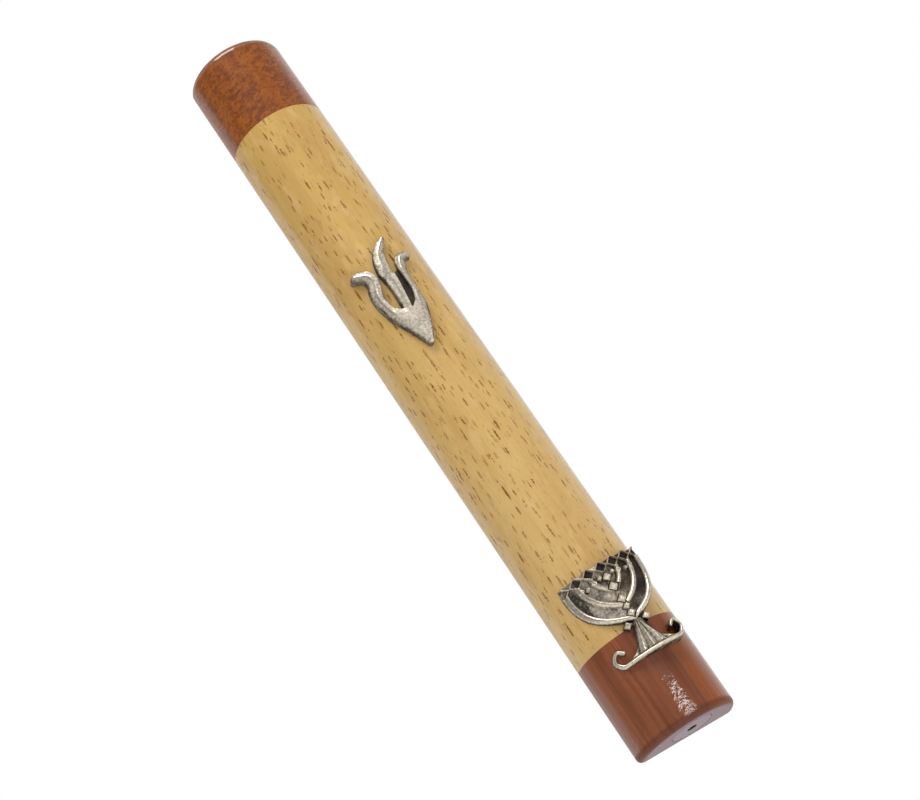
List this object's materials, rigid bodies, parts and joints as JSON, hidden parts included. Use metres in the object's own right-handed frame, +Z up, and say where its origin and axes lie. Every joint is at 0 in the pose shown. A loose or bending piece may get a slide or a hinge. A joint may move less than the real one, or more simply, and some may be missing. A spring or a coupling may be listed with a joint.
{
  "type": "mezuzah case",
  "caption": "Slim flat-backed wooden case with dark ends, bored for a rolled scroll behind a foot stopper, with pewter emblems on its round front.",
  "frame": {"origin": "middle of the mounting face: the outside of the release liner on the case's flat back, half way up the case", "axes": "+Z up the case towards its top end, +Y out of the back towards the doorpost, +X to the right of someone facing the front"},
  "size_m": [0.019, 0.0137, 0.153],
  "materials": {
    "beech": "clear gloss lacquer over pale beech with fine brown flecks",
    "mahogany": "clear gloss lacquer over reddish brown end blocks",
    "dowel_wood": "bare sanded beech dowel",
    "pewter": "antiqued cast pewter, dark in the recesses and rubbed bright on the ridges",
    "stopper": "dark brown soft stopper",
    "parchment": "matt scraped parchment",
    "film": "thin clear film sleeve",
    "foam": "white closed-cell adhesive foam",
    "liner": "cream silicone-coated release paper"
  },
  "bodies": {
    "case": {"body": "beech", "top_cap": "mahogany", "bottom_cap": "mahogany", "top_dowel": "dowel_wood", "adhesive_strip": "foam", "release_liner": "liner", "shin_emblem": "pewter", "menorah_emblem": "pewter"},
    "stopper": {"stopper": "stopper"},
    "scroll": {"parchment_scroll": "parchment", "scroll_wrapper": "film"}
  },
  "joints": [
    {"name": "stopper_slide", "type": "slide", "parent": "case", "child": "stopper", "axis": [0, 0, -1], "range_m": [0, 0.14]},
    {"name": "scroll_slide", "type": "slide", "parent": "case", "child": "scroll", "axis": [0, 0, -1], "range_m": [0, 0.112]}
  ],
  "couplings": [
    {"joint": "scroll_slide", "follows": "stopper_slide", "ratio": 0.8}
  ]
}
